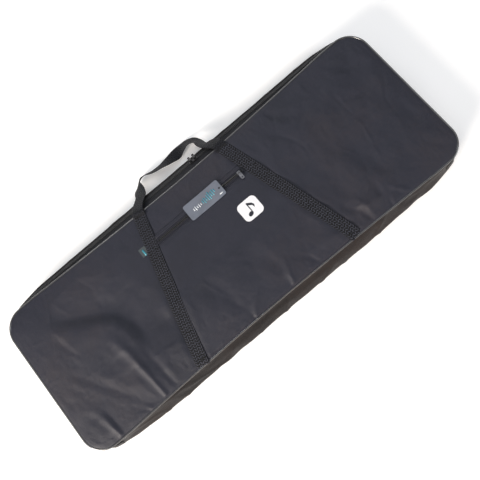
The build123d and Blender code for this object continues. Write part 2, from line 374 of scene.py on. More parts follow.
def ripple(x, y, z):
    return noise.noise(Vector((x, y, z)))


def fbm(x, y, scale, seed, octaves=3):
    return noise.fractal(Vector((x * scale, y * scale, seed)), 1.0, 2.0, octaves)


def creases(x, y, scale, seed):
    """Thin crease lines: zero nearly everywhere, rising to 1 along them."""
    return max(0.0, 1.0 - abs(ripple(x * scale, y * scale, seed)) * 7.0) ** 2


def mesh_object(name, points, faces, material, path=None):
    """Smooth-shaded mesh from millimetres; path holds along, across and lift for its material."""
    mesh = bpy.data.meshes.new(name)
    mesh.from_pydata([tuple(c * MM for c in p) for p in points], [], faces)
    mesh.validate()
    obj = new_object(name, mesh)
    mesh.materials.append(material)
    if path:
        store = mesh.attributes.new("path", "FLOAT_VECTOR", "POINT")
        store.data.foreach_set("vector", [c * MM for p in path for c in p])
    bm = bmesh.new()
    bm.from_mesh(mesh)
    bmesh.ops.recalc_face_normals(bm, faces=bm.faces)
    bm.to_mesh(mesh)
    bm.free()
    for polygon in mesh.polygons:
        polygon.use_smooth = True
    return obj


def grid_faces(rows, columns, start=0, closed_rows=False, closed_columns=False):
    """Quads of a grid of points, row by row, its ends joined where it is closed."""
    faces = []
    for i in range(rows if closed_rows else rows - 1):
        here, there = start + i * columns, start + (i + 1) % rows * columns
        for j in range(columns if closed_columns else columns - 1):
            k = (j + 1) % columns
            faces.append((here + j, here + k, there + k, there + j))
    return faces


def slab_faces(rows, columns):
    """Faces of a closed slab made of two stacked grids, the upper one first."""
    total = rows * columns
    faces = grid_faces(rows, columns)
    faces += [tuple(reversed(f)) for f in grid_faces(rows, columns, start=total)]
    rim = list(range(columns))
    rim += [i * columns + columns - 1 for i in range(1, rows)]
    rim += [(rows - 1) * columns + j for j in range(columns - 2, -1, -1)]
    rim += [i * columns for i in range(rows - 2, 0, -1)]
    for here, there in zip(rim, rim[1:] + rim[:1]):
        faces.append((here, there, there + total, here + total))
    return faces


def swept(name, centres, ups, section, material, closed=False, scale=None):
    """Sweeps a closed section (across, up) along centres; ups give the section's up direction."""
    points, path = [], []
    count = len(centres)
    travelled = 0.0
    for i, centre in enumerate(centres):
        before = centres[i - 1] if (i or closed) else centre
        after = centres[(i + 1) % count] if (i < count - 1 or closed) else centre
        forward = (after - before).normalized()
        up = (ups[i] - forward * ups[i].dot(forward)).normalized()
        side = forward.cross(up)
        if i:
            travelled += (centre - centres[i - 1]).length
        factor = scale(i) if scale else 1.0
        for across, lift in section:
            points.append(centre + side * across * factor + up * lift * factor)
            path.append((travelled, across, lift))
    columns = len(section)
    faces = grid_faces(count, columns, closed_rows=closed, closed_columns=True)
    if not closed:
        faces.append(tuple(range(columns)))
        faces.append(tuple(reversed(range((count - 1) * columns, count * columns))))
    return mesh_object(name, points, faces, material, path)


def joined(name, parts):
    """Joins mesh objects into the first one."""
    with bpy.context.temp_override(active_object=parts[0], object=parts[0], selected_objects=parts,
                                   selected_editable_objects=parts):
        bpy.ops.object.join()
    parts[0].name = name
    parts[0].data.name = name
    return parts[0]


def round_section(radius, sides):
    return [(radius * math.cos(TAU * k / sides), radius * math.sin(TAU * k / sides)) for k in range(sides)]


def band_section(width, thickness, steps=10, crown=0.0, lanes=0.0):
    """Flat band with thin selvedges and shallow woven lanes, its underside at zero."""
    top, low = [], []
    for k in range(steps + 1):
        t = k / steps * 2 - 1
        across = t * width / 2
        half = thickness * 0.5 * (1 - smooth(0.88, 1.0, abs(t)) * 0.6)
        mid = thickness / 2 + crown * (1 - t * t)
        groove = lanes * abs(math.sin(across * MM * math.pi / LANE))
        top.append((across, mid + half + groove))
        low.append((across, mid - half))
    return top + low[::-1]


def curve_through(stations, step):
    """Catmull-Rom through rows of numbers, sampled about every step millimetres of x, y, z."""
    rows = [stations[0], *stations, stations[-1]]
    out = []
    for i in range(1, len(rows) - 2):
        p0, p1, p2, p3 = rows[i - 1:i + 3]
        parts = max(2, int(math.dist(p1[:3], p2[:3]) / step))
        for k in range(parts):
            t = k / parts
            out.append([0.5 * (2 * b + (c - a) * t + (2 * a - 5 * b + 4 * c - d) * t * t
                               + (3 * b - 3 * c + d - a) * t ** 3)
                        for a, b, c, d in zip(p0, p1, p2, p3)])
    out.append(list(stations[-1]))
    return out


def ribbon(name, stations, section, material, step=2.5):
    """Webbing along stations of (x, y, z, up x, up y, up z)."""
    rows = curve_through(stations, step)
    centres = [Vector(row[:3]) for row in rows]
    ups = [Vector(row[3:6]).normalized() for row in rows]
    return swept(name, centres, ups, section, material,
                 scale=lambda i: 1.0 + 0.010 * math.sin(i * 1.9) + 0.008 * math.sin(i * 0.6))


def stitches(name, marks, length=3.0, radius=0.32):
    """Short thread stitches; marks are (centre, direction, up)."""
    points, faces, path = [], [], []
    for centre, direction, up in marks:
        forward = direction.normalized()
        side = forward.cross(up).normalized()
        start = len(points)
        for t, r in ((-0.5, 0.25), (-0.25, 1.0), (0.25, 1.0), (0.5, 0.25)):
            for k in range(6):
                a = TAU * k / 6
                round_it = side * math.cos(a) + up * (math.sin(a) + 0.4)
                points.append(centre + forward * t * length + round_it * radius * r)
                path.append((t * length, math.cos(a), 0))
        faces += grid_faces(4, 6, start=start, closed_columns=True)
        faces.append(tuple(range(start, start + 6)))
        faces.append(tuple(reversed(range(start + 18, start + 24))))
    return mesh_object(name, points, faces, M_THREAD, path)


def take_place(obj, body, slot, *nodes):
    """Puts a piece on its body, in place of the CAD nodes named; slot is not used."""
    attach(obj, body)
    if nodes:
        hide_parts(*nodes)


# ---- the bag's shape
# Each for the zipped long side (1) and the hinged one (-1).
SEAM_MIDDLE = {1: 174.6, -1: 178.6}     # seam's distance from the middle of the bag at x = 0
SEAM_BOW = {1: 13.0, -1: 8.6}           # how much further out it lies towards the corners
BULGE = {1: 30.5, -1: 21.0}             # how far the wall stands out past its seams
END_TAPER = {1: 0.5, -1: 0.85}          # the share of that which is gone at the ends


def seam_y(x, side):
    """Seam's distance from the middle: it bows in between the corners."""
    return SEAM_MIDDLE[side] + SEAM_BOW[side] * min(1.0, abs(x) / 430.0) ** 1.5


def belly(z):
    """Share of the wall's bulge at a height: 1 midway, near 0 at the seams."""
    distance = abs(z - Z_MID)
    return 1.0 - (math.sqrt(distance * distance + 9.0) - 1.2) / 32.0


def bowed(x, y, weight=1.0):
    """A y of the straight outline, moved to the bowed seam by the weight."""
    side = 1 if y > 0 else -1
    return y * (1.0 + (seam_y(x, side) / HALF_W - 1.0) * weight)


def wall_y(x, y, z):
    """The wall's y at height z, bulging between its seams."""
    side = 1 if y > 0 else -1
    share = (abs(y) / HALF_W) ** 3
    taper = 1.0 - END_TAPER[side] * smooth(400, 515, abs(x))
    weight = smooth(54, Z_FRONT, z) if z > Z_MID else smooth(22, Z_BACK, z)
    return bowed(x, y + side * BULGE[side] * belly(z) * share * taper, weight)


def wall_place(x, y, nx, ny, z, inset):
    """A point of the bag's outer wall at height z, from a point of the straight seam outline.

    Where the zip's sliders run, the wall is held straight at the height of the chain."""
    out = wall_y(x, y, z)
    if y > 150:
        straight = smooth(44, 54, z) * smooth(69, 62, z) * smooth(478, 452, abs(x))
        out += (wall_y(SLIDER_X, y, z) - out) * straight
    share = (abs(y) / HALF_W) ** 3
    tuck = 2.5 * max(0.0, belly(z)) * (1 - share) * gauss(y, 90)
    return Vector((x - nx * (inset + tuck), out - ny * inset, z))


def rounded_box(half_x, half_y, radius, cells):
    """Points round a rectangle with rounded corners: (x, y, outward x, outward y), anticlockwise."""
    rows = []
    for sx, sy, start in ((1, -1, -90), (1, 1, 0), (-1, 1, 90), (-1, -1, 180)):
        for k in range(cells + 1):
            a = math.radians(start + 90 * k / cells)
            c, s = math.cos(a), math.sin(a)
            rows.append((sx * (half_x - radius) + radius * c, sy * (half_y - radius) + radius * s, c, s))
    return rows


def outline_loop(step):
    """The seam outline, not yet bowed, as rows of rounded_box about a step apart."""
    rough = rounded_box(HALF_L, HALF_W, CORNER, max(8, int(CORNER * 1.57 / step)))
    loop = []
    for here, there in zip(rough, rough[1:] + rough[:1]):
        parts = max(1, round(math.dist(here[:2], there[:2]) / step))
        for k in range(parts):
            loop.append(tuple(a + (b - a) * k / parts for a, b in zip(here, there)))
    return loop


def run_of(loop, keep):
    """The rows that keep(x, y) accepts, from where their run round the loop starts."""
    first = next((j for j, row in enumerate(loop)
                  if keep(*row[:2]) and not keep(*loop[j - 1][:2])), 0)
    return [row for row in loop[first:] + loop[:first] if keep(*row[:2])]


def on_hinge(x, y):
    """Outline places of the hinged wall, which laps the zipped one by 4 mm."""
    return y < -150 and abs(x) < 471


def on_zip(x, y):
    return not (y < -150 and abs(x) < 467)


# ---- the front panel's surface
def line_distance(x, y, points):
    """Distance from a polyline, signed by side, and how far along it, 0 to 1."""
    best, where, sign = 1e9, 0.0, 1.0
    total = len(points) - 1
    for i in range(total):
        (ax, ay), (bx, by) = points[i], points[i + 1]
        dx, dy = bx - ax, by - ay
        t = max(0.0, min(1.0, ((x - ax) * dx + (y - ay) * dy) / (dx * dx + dy * dy)))
        d = math.hypot(x - ax - dx * t, y - ay - dy * t)
        if d < best:
            best, where = d, (i + t) / total
            sign = 1.0 if dx * (y - ay) - dy * (x - ax) > 0 else -1.0
    return best * sign, where


# Centre line of the long curved dent near the left end; a ridge runs on one side of it.
ARC_DENT = [(-432, 104), (-398, 86), (-364, 64), (-330, 46),
            (-304, 24), (-288, -8), (-283, -45), (-290, -96)]
SOFT_FOLDS = [
    # centre line, width where it starts and where it ends, height
    ([(-334, -10), (-325, -60), (-321, -110), (-317, -176)], 12, 5, 4.8),
    ([(-456, -112), (-452, -140), (-446, -182)], 12, 5, 3.8),
    ([(-296, -60), (-292, -110), (-288, -168)], 12, 7, -2.6),
    ([(-486, 70), (-455, 30), (-440, -50)], 40, 38, 0.4),
    ([(-240, -20), (-200, -80), (-190, -150)], 28, 20, -3.0),
    ([(-110, -40), (-85, -80), (-70, -140)], 24, 14, -3.0),
    ([(10, -60), (35, -100), (60, -150)], 22, 12, -2.6),
    ([(60, -120), (52, -150), (46, -176)], 10, 4, 2.8),
    ([(220, -20), (262, -60), (250, -120)], 30, 22, -3.2),
    ([(300, 30), (335, -30), (350, -100)], 26, 22, -3.4),
    ([(330, -130), (345, -155), (362, -180)], 11, 5, 2.4),
    ([(430, 80), (470, 0), (492, -90)], 26, 22, -3.2),
    ([(240, 168), (262, 140), (300, 110)], 8, 18, -3.2),
    ([(410, 168), (440, 130), (470, 110)], 8, 18, -2.8),
    ([(-200, 166), (-226, 140), (-250, 96)], 7, 18, -2.4),
    ([(150, -150), (240, -135), (330, -158)], 15, 13, 2.6),
    ([(262, -178), (258, -150), (236, -118)], 4, 9, -2.6),
    ([(272, -178), (274, -150), (262, -116)], 4, 9, 2.2),
    ([(300, -178), (312, -150), (318, -120)], 4, 10, -2.2),
    ([(120, -178), (108, -150), (84, -132)], 4, 9, -2.0),
    ([(470, 60), (430, 52), (396, 66)], 9, 5, -2.2),
    ([(480, 20), (440, 6), (380, 18)], 12, 8, -2.0),
    ([(-140, -150), (20, -138), (190, -152)], 16, 15, 2.2),
]
# Where on the hinged side's seam the cloth is gathered.
SEAM_PUCKERS = [-366, -104, -62, 40, 88, 143, 262, 291, 312, 358]


def edge_distance(x, y):
    """Distance in from the bowed seam outline."""
    half_w = seam_y(x, 1 if y > 0 else -1)
    x, y = abs(x), abs(y)
    if x > HALF_L - CORNER and y > half_w - CORNER:
        return CORNER - math.hypot(x - HALF_L + CORNER, y - half_w + CORNER)
    return min(HALF_L - x, half_w - y)


def panel_height(x, y):
    """Height of the front panel above its seam."""
    edge = max(0.0, edge_distance(x, y))
    height = 3.2 * (1 - math.exp(-edge / 5.0))
    crown = (1 - (abs(x) / 540.0) ** 2.6) * (1 - (abs(y) / 196.0) ** 2.2)
    height += 4.0 * max(0.0, crown)
    inner = smooth(2, 34, edge)
    dent, along = line_distance(x, y, ARC_DENT)
    ends = math.sin(math.pi * along) ** 0.5 if 0 < along < 1 else 0.0
    ridge = gauss(dent + 18, 14.0 if dent > -18 else 62.0)
    valley = gauss(dent - 13, 13.0 if dent < 13 else 60.0)
    height += ends * inner * (5.9 * ridge - 8.0 * valley)
    for line, first, last, rise in SOFT_FOLDS:
        d, t = line_distance(x, y, line)
        fade = math.sin(math.pi * (0.06 + 0.80 * t)) ** 0.7
        height += rise * fade * gauss(d, first + (last - first) * t) * smooth(0, 9, edge)
    if y < 0:
        near = math.exp(-edge / 22.0) * smooth(0.5, 6, edge)
        for place in SEAM_PUCKERS:
            lean = place * (1 + 0.04 * edge / 30.0) + 6.0 * fbm(place, edge * 2.0, 0.02, 5.0)
            deep = 0.55 + 0.45 * math.sin(place * 1.7)
            height -= 3.0 * deep * gauss(x - lean, 3.0 + edge * 0.24) * near
            height += 1.8 * deep * gauss(x - lean - 7, 4.0 + edge * 0.27) * near
    lively = 1.0 + 0.7 * smooth(60, 260, x)
    height += 2.2 * lively * fbm(x, y, 0.0075, 3.1) * inner
    height += 1.1 * lively * fbm(x, y, 0.021, 7.7) * inner
    height += 1.5 * lively * creases(x, y * 0.7, 0.013, 4.0) * fbm(x, y, 0.01, 15.0) * inner
    return height + 0.8 * fbm(x, y * 0.35, 0.045, 1.3, 2) * math.exp(-edge / 30.0) * smooth(1, 9, edge)


def strap_x(y):
    """Distance of a strap's centre line from the middle; the straps spread towards the hinge."""
    return 119.0 + (180.0 - y) * 94.0 / 353.0


def zip_zone(x, y, reach):
    """1 on the pocket zip, easing to 0 at reach from its centre line."""
    return (1 - smooth(9, reach, abs(y - ZIP_Y))) * (1 - smooth(128, 150, abs(x)))


def front_z(x, y):
    """Front panel with the dips that the sewn straps and the pocket zip make in it."""
    z = Z_FRONT + panel_height(x, y)
    beside = abs(abs(x) - strap_x(y))
    dip = -1.1 * math.exp(-(beside / 17.0) ** 4) + 0.7 * gauss(beside - 25, 9)
    z += dip * smooth(0, 12, edge_distance(x, y))
    return z + (ZIP_Z - z) * zip_zone(x, y, 24)


def under_tag(x, y, z, limit):
    """Height eased down to a limit wherever the hang tag lies, swings or travels."""
    off = math.hypot(x - max(TAG_FAR, min(TAG_NEAR, x)), y - TAG_Y)
    over = z - limit + STRAP_DIP * math.exp(-((abs(x) - strap_x(y)) / 20.0) ** 4)
    return z - smooth(TAG_FREE, TAG_HOLD, off) * 0.5 * (over + math.sqrt(over * over + 0.2))


def back_z(x, y):
    """Outer face of the back panel, pressed almost flat by what it lies on."""
    edge = max(0.0, edge_distance(x, y))
    low = 0.9 + 0.5 * fbm(x, y, 0.02, 21.0) * smooth(10, 60, edge)
    low += 0.5 * math.exp(-(abs(abs(x) - strap_x(y)) / 17.0) ** 4)
    return max(0.15, Z_BACK - (Z_BACK - low) * (1 - math.exp(-edge / 5.0)))


def panel_grid(inset, cells, arc_cells, rows):
    """Rows of plan points that fill the bowed panel outline, closer together near its edges."""
    reach = CORNER - inset
    half_l, half_w = HALF_L - CORNER, HALF_W - CORNER
    arc = [half_l + reach * math.sin(math.pi / 2 * k / arc_cells) for k in range(1, arc_cells + 1)]
    straight = [-half_l + 2 * half_l * k / cells for k in range(cells + 1)]
    columns = [-x for x in reversed(arc)] + straight + arc
    grid = []
    for i in range(rows + 1):
        s = i / rows * 2 - 1
        spread = s * (1.3 - 0.3 * s * s)
        side = 1 if s > 0 else -1
        line = []
        for x in columns:
            beyond = max(0.0, abs(x) - HALF_L + CORNER)
            half = half_w + math.sqrt(max(0.0, reach * reach - beyond * beyond))
            line.append((x, spread * (half - HALF_W + seam_y(x, side))))
        grid.append(line)
    return grid


def panel_slab(name, material, grid, points):
    """Closed slab over a panel grid, from the points of its upper face and then its lower face."""
    return mesh_object(name, points, slab_faces(len(grid), len(grid[0])), material)


SETTLE_FRAMES = 22
SETTLE_REACH = ((-3.0, 3.0), (-3.0, 3.0), (-2.6, 3.2))
CLOTH = {
    "quality": 6, "mass": 0.08, "tension_stiffness": 12, "compression_stiffness": 12,
    "shear_stiffness": 4, "bending_stiffness": 0.6, "air_damping": 1.5,
    "vertex_group_mass": "held", "vertex_group_shrink": "loose", "shrink_min": 0.0, "shrink_max": -0.022,
    "use_pressure": True, "uniform_pressure_force": 0.4,
}


def settled(points, rows, columns):
    """Cloth simulation of the panel: the seam is held and the cloth, cut a little large, puckers.

    Returns how far each point moved, in millimetres and within SETTLE_REACH."""
    obj = mesh_object("settling", points, grid_faces(rows, columns), M_SHELL)
    held = obj.vertex_groups.new(name="held")
    loose = obj.vertex_groups.new(name="loose")
    for index, point in enumerate(points):
        i, j = divmod(index, columns)
        if i in (0, rows - 1) or j in (0, columns - 1):
            held.add([index], 1.0, "REPLACE")
        loose.add([index], 0.35 + 0.65 * math.exp(-edge_distance(point.x, point.y) / 45.0), "REPLACE")
    cloth = obj.modifiers.new("cloth", "CLOTH")
    for key, value in CLOTH.items():
        setattr(cloth.settings, key, value)
    cloth.settings.effector_weights.gravity = 0.0
    cloth.collision_settings.use_collision = False
    cloth.point_cache.frame_start = 1
    cloth.point_cache.frame_end = SETTLE_FRAMES
    scene = bpy.context.scene
    for number in range(1, SETTLE_FRAMES + 1):
        scene.frame_set(number)
    shown = obj.evaluated_get(bpy.context.evaluated_depsgraph_get()).to_mesh()
    result = []
    for before, vertex in zip(points, shown.vertices):
        moved = vertex.co / MM - before
        result.append(Vector([max(low, min(high, c)) for c, (low, high) in zip(moved, SETTLE_REACH)]))
    bpy.data.objects.remove(obj)
    scene.frame_set(1)
    return result


def refined(moves, rows, columns):
    """Moves on a grid with twice the cells each way."""
    fine = []
    for i in range(2 * rows - 1):
        for j in range(2 * columns - 1):
            around = [moves[a * columns + b]
                      for a in {i // 2, (i + 1) // 2} for b in {j // 2, (j + 1) // 2}]
            fine.append(sum(around, Vector()) / len(around))
    return fine


PANEL_INSET = 1.4      # the panel's cloth ends this far inside the seam, under the piping
CELLS, ARC_CELLS, PANEL_ROWS = 157, 9, 64
GRID = panel_grid(PANEL_INSET, 2 * CELLS, 2 * ARC_CELLS, 2 * PANEL_ROWS)
places = [place for line in GRID for place in line]
face = [Vector((x, y, front_z(x, y))) for x, y in places]
coarse = panel_grid(PANEL_INSET, CELLS, ARC_CELLS, PANEL_ROWS)
start = [Vector((x, y, front_z(x, y))) for line in coarse for x, y in line]
size = len(coarse), len(coarse[0])
moves = refined(settled(start, *size), *size)
for k, (x, y) in enumerate(places):
    face[k] = face[k] + moves[k] * (1 - zip_zone(x, y, 26))
for k, (x, y) in enumerate(places):
    face[k].z = under_tag(x, y, face[k].z, PANEL_LIMIT)
under = [Vector((x * 0.996, y * 0.99, 63.0)) for x, y in places]
front_panel = panel_slab("front_panel", M_SHELL, GRID, face + under)
take_place(front_panel, "lid", "shell", "front_cover", "front_foam")

BACK_GRID = panel_grid(PANEL_INSET, 105, 6, 40)
outer = [Vector((x, y, back_z(x, y))) for line in BACK_GRID for x, y in line]
inner = [Vector((x * 0.994, y * 0.985, 9.6)) for line in BACK_GRID for x, y in line]
back_panel = panel_slab("back_panel", M_BACK, BACK_GRID, inner + outer)
take_place(back_panel, "base", "shell", "back_cover", "back_foam")


def panel_lining(name, z, body, node, seed):
    grid = panel_grid(5.5, 79, 5, 30)
    soft = [(x, y, z + 0.5 * fbm(x, y, 0.018, seed) * smooth(0, 30, edge_distance(x, y)))
            for line in grid for x, y in line]
    points = [Vector((x, y, low + thickness)) for thickness in (0.7, 0.0) for x, y, low in soft]
    cloth = panel_slab(name, M_LINING, grid, points)
    take_place(cloth, body, "lining", node)


panel_lining("front_lining_cloth", 61.9, "lid", "front_lining", 31.0)
panel_lining("back_lining_cloth", 10.0, "base", "back_lining", 37.0)


# ---- things laid on the panel
def surface_tree(obj):
    bm = bmesh.new()
    bm.from_mesh(obj.data)
    tree = BVHTree.FromBMesh(bm)
    bm.free()
    return tree


TREES = [surface_tree(front_panel)]


def lay(x, y, lift=0.0):
    """The point lift above the highest fabric laid so far at x, y."""
    top = Z_FRONT + 0.5
    for tree in TREES:
        hit = tree.ray_cast(Vector((x * MM, y * MM, 0.2)), Vector((0, 0, -1)))
        if hit[0] is not None:
            top = max(top, hit[0].z / MM)
    return Vector((x, y, top + lift))


def pocket_front():
    """The pocket's front: a sheet from under one strap to under the other, a little blown up."""
    top, low = 88.8, -176.2
    top_x, low_x = strap_x(88) + 3, strap_x(-174) + 3
    a, b, c, d = [Vector(p) for p in
                  ((-top_x, top, 0), (top_x, top, 0), (low_x, low, 0), (-low_x, low, 0))]
    nx, ny = 150, 100
    cells = [(j / nx, i / ny) for i in range(ny + 1) for j in range(nx + 1)]
    points = []
    for layer, (s, t) in [(layer, cell) for layer in (0.9, 0.0) for cell in cells]:
        x, y, _ = a.lerp(b, s).lerp(d.lerp(c, s), t)
        arch = math.sin(math.pi * s)
        swell = 1.4 * arch ** 0.5 * math.sin(math.pi * min(1.0, t * 0.97 + 0.03)) ** 0.5
        swell += 0.5 * (fbm(x, y, 0.016, 11.0) + 0.4) * arch
        hem = 0.9 * gauss(y - 86.8, 2.0) - 0.5 * gauss(y - 82.0, 2.0)
        slim = 1 - 0.5 * smooth(0.02, 0.0, min(s, 1 - s, t, 1 - t))
        z = under_tag(x, y, lay(x, y, 0.35 + swell + hem).z, POCKET_LIMIT)
        points.append(Vector((x, y, z + layer * slim)))
    return mesh_object("pocket_front", points, slab_faces(ny + 1, nx + 1), M_SHELL)


pocket = pocket_front()
take_place(pocket, "lid", "shell", "pocket_panel")
TREES.append(surface_tree(pocket))


def conformed(name, node, material, body, slot, lift=0.0, cell=3.0, bend=None):
    """A copy of a flat CAD node, diced finely and laid on the fabric below it."""
    bm = bmesh.new()
    bm.from_mesh(NODES[node].data)
    bmesh.ops.remove_doubles(bm, verts=bm.verts, dist=0.00001)
    low, high = [Vector(v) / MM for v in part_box(node)]
    for axis, normal in enumerate((Vector((1, 0, 0)), Vector((0, 1, 0)))):
        cut = math.ceil(low[axis] / cell) * cell
        while cut < high[axis]:
            bmesh.ops.bisect_plane(bm, geom=[*bm.verts, *bm.edges, *bm.faces],
                                   dist=1e-6, plane_co=normal * cut * MM, plane_no=normal)
            cut += cell
    for vertex in bm.verts:
        x, y, z = vertex.co / MM
        base = bend(x, y) if bend else lay(x, y, lift).z
        vertex.co.z = (base + z - low.z) * MM
    mesh = bpy.data.meshes.new(name)
    bm.to_mesh(mesh)
    bm.free()
    mesh.materials.append(material)
    take_place(new_object(name, mesh), body, slot, node)


conformed("printed_badge", "emblem", M_WHITE, "lid", "print", 0.05)
conformed("woven_label", "side_label", M_LABEL, "lid", "label", 0.1, 1.5)


def strap_stations(side):
    """Stations of a strap that lies on the panel and bridges its smallest dips."""
    rows = []
    for k in range(90):
        y = 176.5 - 357.1 * k / 89
        x = side * strap_x(y)
        tops = [lay(x + side * off, y).z for off in (-12, -6, 0, 6, 12)]
        rows.append((x, y, (sum(tops) / 5 + max(tops)) / 2 + 0.25, 0, 0, 1))
    return rows


def seam_marks(rows, offset, pitch):
    """Stitch places beside a line of stations, offset across it."""
    marks = []
    due = 0.0
    for here, there in zip(rows, rows[1:]):
        a, b = Vector(here[:3]), Vector(there[:3])
        forward = (b - a).normalized()
        up = Vector(here[3:6]).normalized()
        side = forward.cross(up)
        span = (b - a).length
        while due < span:
            marks.append((a + forward * due + side * offset + up * 1.35, forward, up))
            due += pitch
        due -= span
    return marks


marks = []
for label, side in (("left", -1), ("right", 1)):
    rows = strap_stations(side)
    band = ribbon("front_webbing_" + label, rows, band_section(30.4, 1.3, 24, 0.2, 0.22), M_WEB)
    take_place(band, "lid", "webbing", "front_strap_" + label)
    for offset in (-13.2, 13.2):
        marks += seam_marks(rows, offset, 4.4)
take_place(stitches("strap_stitching", marks), "lid", "stitching")

bartacks = []
for side in (-1, 1):
    for y, lift in ((170.0, 2.7), (-169.0, 1.9)):
        for k in range(15):
            place = lay(side * strap_x(y) + (k - 7) * 1.6, y, lift)
            bartacks.append((place, Vector((0.35 if k % 2 else -0.35, 1, 0)), Vector((0, 0, 1))))
take_place(stitches("bartack_threads", bartacks, 6.5, 0.55), "lid", "stitching", "strap_bartacks")


# ---- pocket zip
def line_rows(x0, x1, y, z, step=4.0, wave=0.15):
    """Stations along x that waver a little in height."""
    count = int(abs(x1 - x0) / step)
    return [(x0 + (x1 - x0) * k / count, y, z + wave * ripple(k * 0.3, y, 0), 0, 0, 1)
            for k in range(count + 1)]


def teeth_row(name, rows, pitch, section):
    """A coil row: a small ridge that swells at every tooth."""
    fine = curve_through(rows, pitch / 4)
    centres = [Vector(row[:3]) for row in fine]
    ups = [Vector(row[3:6]) for row in fine]
    return swept(name, centres, ups, section, M_COIL, scale=lambda i: (0.55, 0.85, 1.0, 0.85)[i % 4])


POCKET_TAPE_Z = 77.7
POCKET_TEETH_Z = 78.4
POCKET_TOOTH = [(0.9, 0.0), (0.6, 1.0), (-0.6, 1.0), (-0.9, 0.0)]
tapes = [ribbon("strip", line_rows(-126 - (95 - y) * 0.27, 123, y, POCKET_TAPE_Z),
                band_section(width, 0.6), M_POCKET_TAPE) for y, width in ((91.6, 6.0), (99.2, 5.8))]
take_place(joined("pocket_tape", tapes), "lid", "zip_tape", "pocket_zip_tape")
teeth = [teeth_row("teeth", line_rows(-121, 121, y, POCKET_TEETH_Z, 8.0, 0.05), 1.3, POCKET_TOOTH)
         for y in (93.9, 96.9)]
take_place(joined("pocket_teeth", teeth), "lid", "zip_coil", "pocket_coil")

# Fold of fabric above the pocket zip, rounded along its lower edge, and the stitching by it.
WELT = [(-5.6, 0.1), (-5.6, 0.5), (-2.0, 1.7), (1.6, 2.3), (4.2, 2.3), (5.4, 1.5), (5.2, 0.7), (3.0, 0.4)]
WELT_Y, LOWER_SEAM_Y = 107.6, 85.2
along = [-123.6 + k * 4.0 for k in range(62)]
rows = [(x, WELT_Y, lay(x, WELT_Y, -0.2).z, 0, 0, 1) for x in along]
take_place(ribbon("pocket_fold", rows, WELT, M_SHELL), "lid", "shell", "pocket_welt")
marks = seam_marks([(x, y - 1.5, z + 0.8, *up) for x, y, z, *up in rows], 0.0, 4.0)
rows = [(x, LOWER_SEAM_Y, lay(x, LOWER_SEAM_Y, -1.1).z, 0, 0, 1) for x in along]
marks += seam_marks(rows, 0.0, 4.0)
take_place(stitches("pocket_stitching", marks), "lid", "stitching")


# ---- hang tag
TAG_Z = 80.6          # underside of the tag at its middle
TAG_MIDDLE = (14, 97)
TAG_HALF = 49.0       # half its length


def tag_bend(x, y):
    return TAG_Z + 1.1 * ((x - TAG_MIDDLE[0]) / TAG_HALF) ** 2 + 0.012 * (y - TAG_MIDDLE[1])


conformed("tag_board", "hang_tag", M_CARD, "hang_tag", "tag_card", cell=4.0, bend=tag_bend)


def printed_bars(name, boxes, material, body, slot, height):
    """Plain rounded bars, (x, y, width, height), printed on a surface whose height is given."""
    parts, cells = [], 4
    for x, y, wide, tall in boxes:
        ring = rounded_box(wide / 2, tall / 2, min(wide, tall) * 0.42, cells)
        outline = [(x + px, y + py) for px, py, *_ in ring[cells + 1:] + ring[:cells + 1]]
        points = [Vector((px, py, height(px, py) + lift)) for lift in (0.12, -0.2) for px, py in outline]
        count = len(outline)
        faces = [tuple(range(count)), tuple(reversed(range(count, 2 * count)))]
        faces += grid_faces(2, count, closed_columns=True)
        parts.append(mesh_object("print", points, faces, material))
    take_place(joined(name, parts), body, slot)


def tag_top(x, y):
    return tag_bend(x, y) + 0.5


PALE_BARS = [(-17, 96, 2.2, 7), (-12, 96, 2.2, 11), (-7, 96, 2.2, 6), (-2, 96, 2.2, 9),
             (3, 96, 2.2, 5), (53.5, 85, 9, 2.6)]
TEAL_BARS = [(9, 97, 2.4, 9), (14, 97, 2.4, 14), (19, 97, 2.4, 9), (24, 98, 2.4, 16),
             (29, 99, 2.4, 20), (34, 99, 2.4, 12), (39, 100, 2.4, 16), (44, 101, 2.4, 8)]
printed_bars("tag_bars_pale", PALE_BARS, M_PALE, "hang_tag", "tag_card", tag_top)
printed_bars("tag_bars_teal", TEAL_BARS, M_TEAL, "hang_tag", "tag_card", tag_top)
printed_bars("label_stripe", [(-163.5, 96.0, 4.0, 16.0)], M_TEAL, "lid", "label",
             lambda x, y: lay(x, y, 0.75).z)


# ---- piping
for name, z, body, node in (("front_piping_cord", Z_FRONT, "lid", "front_piping"),
                            ("back_piping_cord", Z_BACK, "base", "back_piping")):
    centres = [Vector((x, bowed(x, y), z + 0.5 * ripple(x * 0.02, y * 0.02, z)))
               for x, y, *_ in outline_loop(5.0)]
    ups = [Vector((0, 0, 1))] * len(centres)
    tube = swept(name, centres, ups, round_section(2.3, 12), M_PIPING, closed=True)
    take_place(tube, body, "piping", node)


